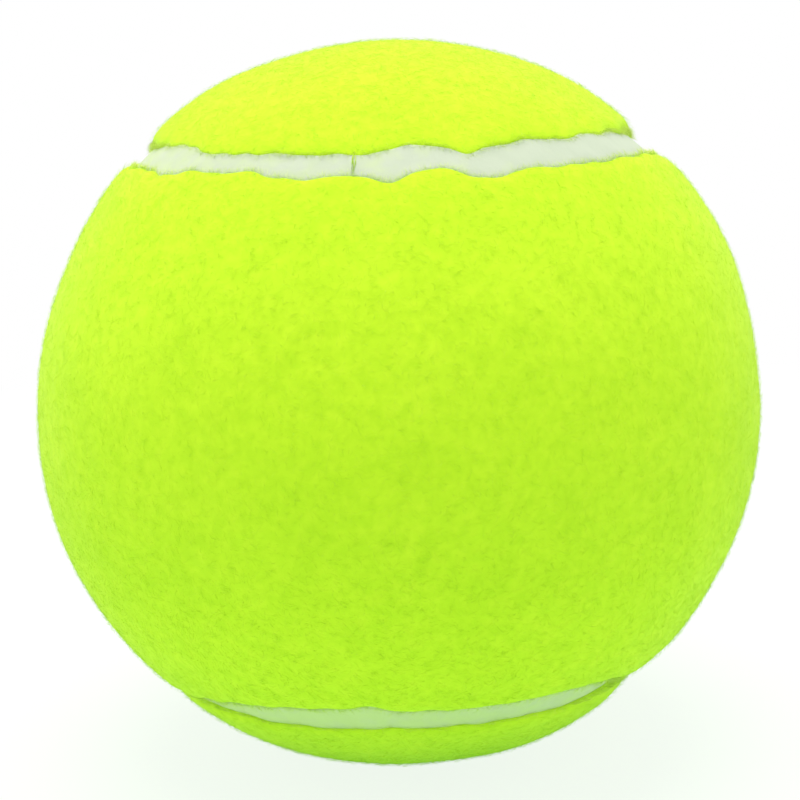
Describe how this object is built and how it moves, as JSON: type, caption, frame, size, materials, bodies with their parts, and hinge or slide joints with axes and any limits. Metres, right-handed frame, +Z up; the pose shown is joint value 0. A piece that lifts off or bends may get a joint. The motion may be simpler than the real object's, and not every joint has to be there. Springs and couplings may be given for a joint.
{
  "type": "tennis ball",
  "caption": "Hollow rubber play ball covered in bright yellow-green felt panels that interlock along one continuous pale rubber seam.",
  "frame": {"origin": "centre of the ball", "axes": "+Z up; the waist of the front felt panel faces -Y with its lobes round +X and -X, and the rear panel faces +Y with its lobes round +Z and -Z"},
  "size_m": [0.0666, 0.0666, 0.0666],
  "materials": {
    "core_rubber": "matt moulded rubber, dusted",
    "joint_cement": "cured rubber cement",
    "back_coat": "thin coat of pale rubber adhesive",
    "felt": "brushed wool and nylon felt, optic yellow-green",
    "seam": "matt off-white rubber"
  },
  "bodies": {
    "root": {"core_half_upper": "core_rubber", "core_half_lower": "core_rubber", "core_joint_cement": "joint_cement", "back_coat_front": "back_coat", "back_coat_rear": "back_coat", "felt_panel_front": "felt", "felt_panel_rear": "felt", "seam_rubber": "seam"}
  },
  "joints": []
}
